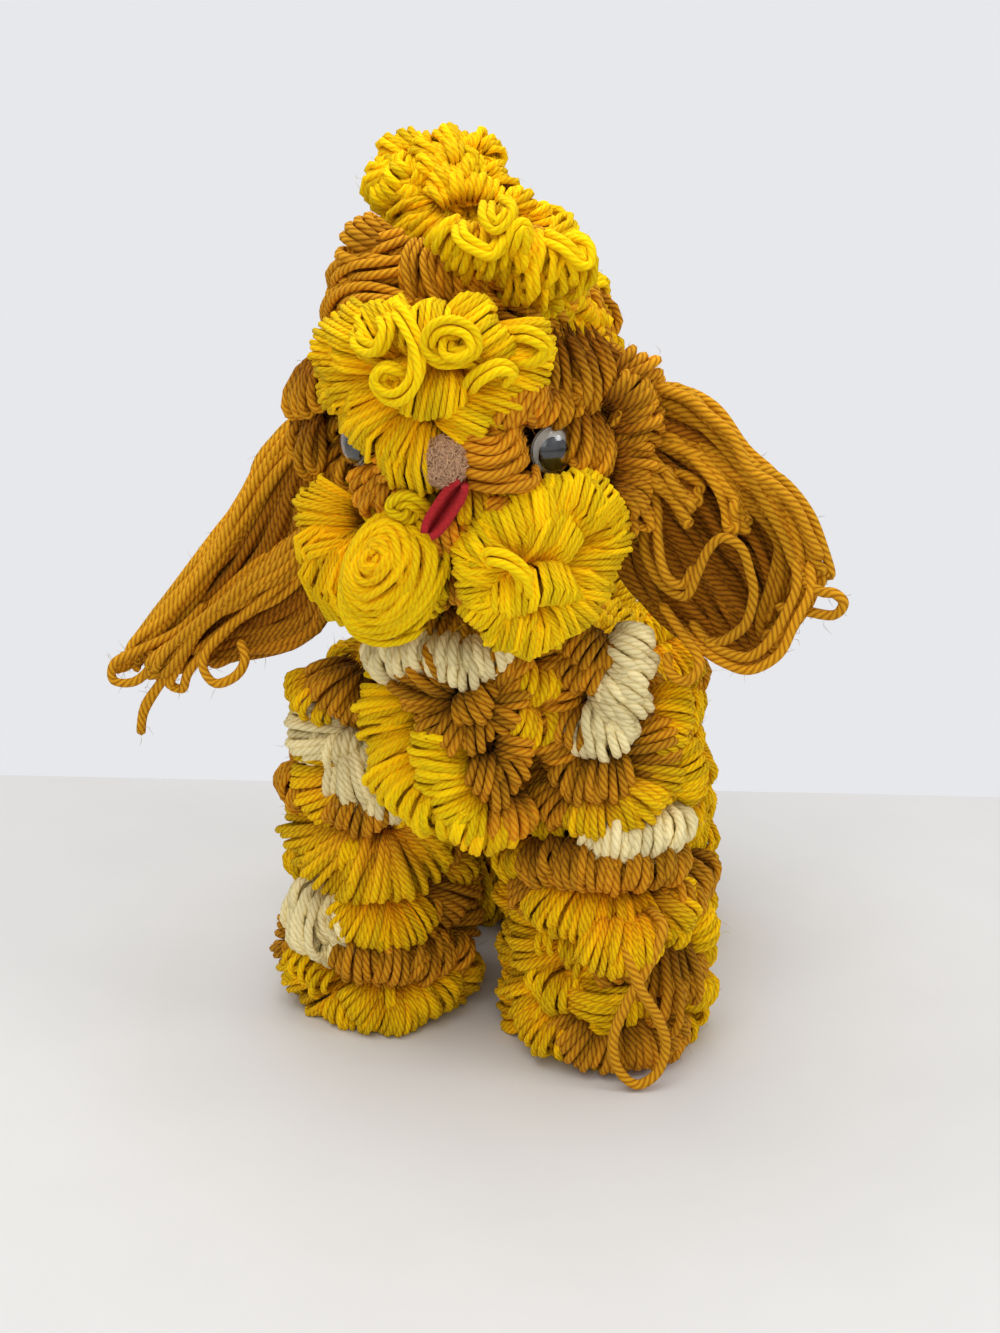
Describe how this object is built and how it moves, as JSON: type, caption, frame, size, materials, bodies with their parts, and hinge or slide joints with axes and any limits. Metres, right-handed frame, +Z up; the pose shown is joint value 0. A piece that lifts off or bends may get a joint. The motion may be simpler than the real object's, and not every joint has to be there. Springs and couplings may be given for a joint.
{
  "type": "yarn poodle toy",
  "caption": "Standing poodle toy of gathered yarn loops wound on a padded wire armature, with looped yarn ears, loose-pupil eyes, felt tongue, topknot and pompom tail.",
  "frame": {"origin": "on the standing surface, under the middle of the toy's bounding box", "axes": "+Z up, -Y the way the toy faces, +X towards the toy's own left"},
  "size_m": [0.1692, 0.1662, 0.2115],
  "materials": {
    "mustard_yarn": "looped worsted yarn, matt, solid mustard",
    "yellow_yarn": "looped worsted yarn, matt, bright yellow",
    "variegated_yarn": "looped worsted yarn, matt, shading from brown mustard through yellow to cream",
    "wadding": "rolled yarn wadding, matt",
    "tan_felt": "fuzzy tan felt",
    "red_felt": "red felt",
    "eye_white": "smooth white plastic",
    "eye_clear": "clear blown plastic dome",
    "eye_black": "smooth black plastic",
    "armature_wire": "drawn wire"
  },
  "bodies": {
    "body": {"spine_wire": "armature_wire", "body_wadding": "wadding", "body_strip": "variegated_yarn", "front_left_leg_wire": "armature_wire", "front_left_leg_wadding": "wadding", "front_left_leg_strip": "variegated_yarn", "front_left_shoulder_tuft": "variegated_yarn", "front_right_leg_wire": "armature_wire", "front_right_leg_wadding": "wadding", "front_right_leg_strip": "variegated_yarn", "front_right_shoulder_tuft": "variegated_yarn", "hind_left_leg_wire": "armature_wire", "hind_left_leg_wadding": "wadding", "hind_left_leg_strip": "variegated_yarn", "hind_left_hip_tuft": "variegated_yarn", "hind_right_leg_wire": "armature_wire", "hind_right_leg_wadding": "wadding", "hind_right_leg_strip": "variegated_yarn", "hind_right_hip_tuft": "variegated_yarn", "neck_wadding": "wadding", "neck_strip": "variegated_yarn", "chest_rosette": "variegated_yarn", "chest_tuft": "yellow_yarn", "rump_tuft": "variegated_yarn", "foot_loop": "mustard_yarn"},
    "head": {"head_wadding": "wadding", "head_strip": "mustard_yarn", "topknot": "yellow_yarn", "crest_tuft": "yellow_yarn", "brow_tuft": "yellow_yarn", "muzzle_tuft": "mustard_yarn", "nose": "tan_felt", "tongue": "red_felt", "left_cheek_tuft": "yellow_yarn", "right_cheek_tuft": "yellow_yarn", "left_eye_back": "eye_white", "right_eye_back": "eye_white", "left_eye_dome": "eye_clear", "right_eye_dome": "eye_clear"},
    "left_ear": {"left_ear_hank": "mustard_yarn", "left_ear_tie": "mustard_yarn"},
    "right_ear": {"right_ear_hank": "mustard_yarn", "right_ear_tie": "mustard_yarn"},
    "left_pupil": {"left_pupil": "eye_black"},
    "right_pupil": {"right_pupil": "eye_black"},
    "tail": {"tail_wire": "armature_wire", "tail_pompom": "yellow_yarn"}
  },
  "joints": [
    {"name": "head_turn", "type": "hinge", "parent": "body", "child": "head", "pos_m": [-0.00045, -0.03077, 0.1155], "axis": [0, 0, 1], "range_deg": [-15, 15]},
    {"name": "left_ear_swing", "type": "hinge", "parent": "head", "child": "left_ear", "pos_m": [0.03635, -0.03977, 0.1495], "axis": [0, 1, 0], "range_deg": [-45, 5], "stiffness_Nm_per_rad": 0.012, "springref_deg": -0.7},
    {"name": "right_ear_swing", "type": "hinge", "parent": "head", "child": "right_ear", "pos_m": [-0.03725, -0.03977, 0.1495], "axis": [0, -1, 0], "range_deg": [-45, 5], "stiffness_Nm_per_rad": 0.012, "springref_deg": -0.85},
    {"name": "left_pupil_roll", "type": "hinge", "parent": "head", "child": "left_pupil", "pos_m": [0.02008, -0.05937, 0.149], "axis": [0.6889, -0.7248, 0], "continuous": true},
    {"name": "right_pupil_roll", "type": "hinge", "parent": "head", "child": "right_pupil", "pos_m": [-0.02098, -0.05937, 0.149], "axis": [-0.6889, -0.7248, 0], "continuous": true},
    {"name": "tail_wag", "type": "hinge", "parent": "body", "child": "tail", "pos_m": [-0.00045, 0.06023, 0.09596], "axis": [0, 0, 1], "range_deg": [-30, 30]}
  ]
}
